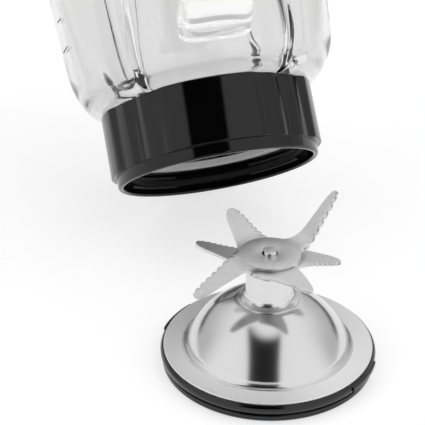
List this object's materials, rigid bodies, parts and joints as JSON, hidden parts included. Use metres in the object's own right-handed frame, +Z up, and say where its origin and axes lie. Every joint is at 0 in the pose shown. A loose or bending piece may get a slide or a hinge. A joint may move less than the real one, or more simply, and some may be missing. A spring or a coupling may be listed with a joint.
{
  "type": "blender jug with lift-off blade unit",
  "caption": "Four-lobed glass blender jug with handle, black collar and lid, held tilted behind its lift-off steel blade unit.",
  "frame": {"origin": "centre of the blade unit's underside, on the table that it stands on", "axes": "+Z up along the blade shaft; the jug is held tilted away behind the blade unit, towards +Y, with its handle towards -Y"},
  "size_m": [0.1689, 0.3737, 0.2715],
  "materials": {
    "black_gloss": "glossy black plastic",
    "black_rubber": "matte black rubber",
    "black_matte": "moulded black plastic",
    "clear_seal": "pale silicone",
    "satin_steel": "satin pressed stainless steel",
    "bright_steel": "turned bright stainless steel",
    "blade_steel": "ground blade steel",
    "bronze": "sintered bronze",
    "jug_glass": "clear moulded glass",
    "clear_plastic": "clear moulded plastic cup"
  },
  "bodies": {
    "blade_unit": {"base_ring": "black_gloss", "unit_gasket": "black_rubber", "blade_plate": "satin_steel", "bearing_housing": "bright_steel", "housing_nut": "satin_steel", "upper_bearing": "bronze", "lower_bearing": "bronze", "shaft_seal": "black_rubber", "under_cover": "black_matte", "cover_screws": "bright_steel"},
    "rotor": {"drive_shaft": "bright_steel", "upper_blade": "blade_steel", "middle_blade": "blade_steel", "lower_blade": "blade_steel", "blade_spacer": "bright_steel", "thrust_washer": "bronze", "retaining_clip": "bright_steel", "drive_coupler": "black_rubber"},
    "jug": {"collar": "black_gloss", "jug_seal": "clear_seal", "glass_jug": "jug_glass", "jug_handle": "jug_glass"},
    "lid": {"lid_shell": "black_matte", "lid_seal": "clear_seal"},
    "cap": {"filler_cap": "clear_plastic", "cap_seal": "clear_seal"}
  },
  "joints": [
    {"name": "blade_spin", "type": "hinge", "parent": "blade_unit", "child": "rotor", "pos_m": [0, 0, 0.033], "axis": [0, 0, 1], "continuous": true},
    {"name": "jug_swing", "type": "hinge", "parent": "blade_unit", "child": "jug", "pos_m": [0.04636, -0.04701, -0.08893], "axis": [0.9046, 0.2738, 0.3269], "range_deg": [0, 40.3]},
    {"name": "lid_lift", "type": "slide", "parent": "jug", "child": "lid", "axis": [-0.1069, 0.6063, 0.788], "range_m": [0, 0.06]},
    {"name": "cap_lift", "type": "slide", "parent": "lid", "child": "cap", "axis": [-0.1069, 0.6063, 0.788], "range_m": [0, 0.05]}
  ]
}
